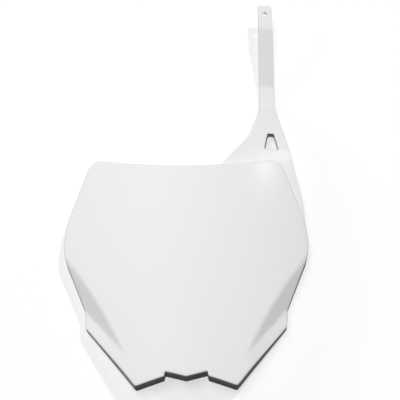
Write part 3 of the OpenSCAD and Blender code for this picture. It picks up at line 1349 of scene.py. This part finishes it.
@dataclass(frozen=True)
class Lamp:
    """A round soft lamp that points at a spot on the board."""

    name: str
    # Direction from the spot to the lamp
    towards: tuple[float, float, float]
    power: float
    distance: float = 5.0
    width: float = 1.9
    spot: tuple[float, float, float] = (0.0, 0.0, 0.1)
    # Whether the plastic's sheen shows the lamp, and whether the lamp lights the plastic itself
    in_sheen: bool = False
    in_body: bool = True
    # How far the light fans out: a grid before the lamp keeps it to a narrow cone
    spread_deg: float = 180.0

    def build(self) -> None:
        """Builds the lamp."""
        data = bpy.data.lights.new(self.name, "AREA")
        data.shape, data.size, data.energy = "DISK", self.width, self.power
        data.spread = math.radians(self.spread_deg)
        lamp = add_object(self.name, data)
        away = Vector(self.towards).normalized()
        lamp.location = Vector(self.spot) + away * self.distance
        lamp.rotation_euler = away.to_track_quat("Z", "Y").to_euler()
        lamp.visible_camera = False
        lamp.visible_glossy, lamp.visible_diffuse = self.in_sheen, self.in_body


@dataclass(frozen=True)
class Studio:
    """The lamps and the white surroundings."""

    ambient: float = 0.02
    lamps: tuple[Lamp, ...] = (
        Lamp("front_lamp", (-0.16, -1.0, 0.04), 122.0),
        Lamp("upper_lamp", (-0.30, -1.0, 0.50), 14.0),
        Lamp("right_lamp", (0.60, -1.0, 0.08), 10.0),
        Lamp("left_lamp", (-1.0, -0.35, 0.30), 79.0),
        Lamp("far_right_lamp", (1.0, -0.35, 0.0), 16.0),
        # A small lamp gives the board's shadow its edges
        Lamp("shadow_lamp", (0.36, -1.0, 0.44), 147.0, distance=6.0, width=0.32),
        # A near lamp behind a grid gives the right shoulder its highlight
        Lamp(
            "sheen_lamp",
            (0.64, -1.0, 0.73),
            0.0019,
            distance=0.5,
            width=0.05,
            spot=(0.082, 0.01, 0.188),
            in_sheen=True,
            in_body=False,
            spread_deg=21.0,
        ),
        Lamp("rear_lamp", (-0.3, 1.0, 0.5), 40.0, distance=2.4, width=1.6, in_sheen=True),
    )

    def build(self) -> None:
        """Builds the lamps, and surroundings that are white to the camera alone."""
        for lamp in self.lamps:
            lamp.build()
        world = bpy.data.worlds.new("studio")
        world.use_nodes = True
        world.node_tree.nodes.clear()
        tree = Tree(world.node_tree)
        seen = tree.add("ShaderNodeLightPath").outputs["Is Camera Ray"]
        shares = {"Value": seen, "To Min": self.ambient, "To Max": 1.0}
        strength = tree.add("ShaderNodeMapRange", shares).outputs["Result"]
        light = {"Color": grey(1.0), "Strength": strength}
        sky = tree.add("ShaderNodeBackground", light).outputs[0]
        tree.add("ShaderNodeOutputWorld", {"Surface": sky})
        bpy.context.scene.world = world


@dataclass(frozen=True)
class PhotoCamera:
    """The photograph's camera, which looks up at the face from a little below."""

    size: Sizes
    below_deg: float = 22.0
    roll_deg: float = -0.5
    distance: float = 1000.0
    focal_px: float = 1000.0
    image_px: float = 400.0
    sensor_mm: float = 36.0
    # A point of the board in millimetres, and the pixel of the photograph on which it falls
    aim: tuple[float, float, float] = (0.0, 15.0, 118.5)
    aim_px: tuple[float, float] = (186.1, 269.2)

    def build(self) -> bpy.types.Object:
        """Builds the camera and makes it the scene's own.

        Returns:
            The camera.
        """
        data = bpy.data.cameras.new("photo_camera")
        data.sensor_width = self.sensor_mm
        data.lens = self.sensor_mm * self.focal_px / self.image_px
        tilt, roll = math.radians(self.below_deg), math.radians(self.roll_deg)
        ahead = Vector((0, math.cos(tilt), math.sin(tilt)))
        right, up = Vector((1, 0, 0)), Vector((0, -math.sin(tilt), math.cos(tilt)))
        right, up = (
            right * math.cos(roll) + up * math.sin(roll),
            up * math.cos(roll) - right * math.sin(roll),
        )
        half, per_px = self.image_px / 2, self.distance / self.focal_px
        across, above = self.aim_px[0] - half, half - self.aim_px[1]
        sideways = right * across * per_px + up * above * per_px
        eye = Vector(self.aim) - ahead * self.distance - sideways
        turn = Matrix((right, up, -ahead)).transposed().to_4x4()
        camera = add_object("photo_camera", data)
        camera.matrix_world = Matrix.Translation(self.size.to_row @ eye) @ turn
        bpy.context.scene.camera = camera
        return camera


@dataclass(frozen=True)
class NumberBoard:
    """The whole moulding."""

    size: Sizes = Sizes()
    finish: MouldedPolypropylene = MouldedPolypropylene()

    def build(self) -> bpy.types.Object:
        """Builds the moulding as one piece that stands for the CAD node.

        Returns:
            The piece.
        """
        face = Face(self.size)
        strap, tab = Strap(self.size, face), BoltTab(self.size, face)
        material = self.finish.material()
        meshes = [
            face.mesh(),
            strap.mesh(),
            strap.collar(),
            strap.button(),
            tab.tab(),
            tab.boss(),
            tab.gussets(material),
        ]
        parts = []
        for mesh in meshes:
            mesh.materials.clear()
            mesh.materials.append(material)
            parts.append(add_object(mesh.name, mesh))
        with bpy.context.temp_override(active_object=parts[0], selected_editable_objects=parts):
            bpy.ops.object.join()
        piece = parts[0]
        piece.name = piece.data.name = "moulded_board"
        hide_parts(NODE)
        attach(piece, "root")
        LOG.info("%s: %d faces", piece.name, len(piece.data.polygons))
        return piece


def main() -> None:
    """Builds the board, the studio and the camera."""
    logging.basicConfig(level=logging.INFO, format="%(name)s: %(message)s")
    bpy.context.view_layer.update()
    board = NumberBoard()
    board.build()
    Backdrop().build()
    Studio().build()
    PhotoCamera(board.size).build()
    bpy.context.scene.view_settings.view_transform = "Standard"


if __name__ == "__main__":
    main()
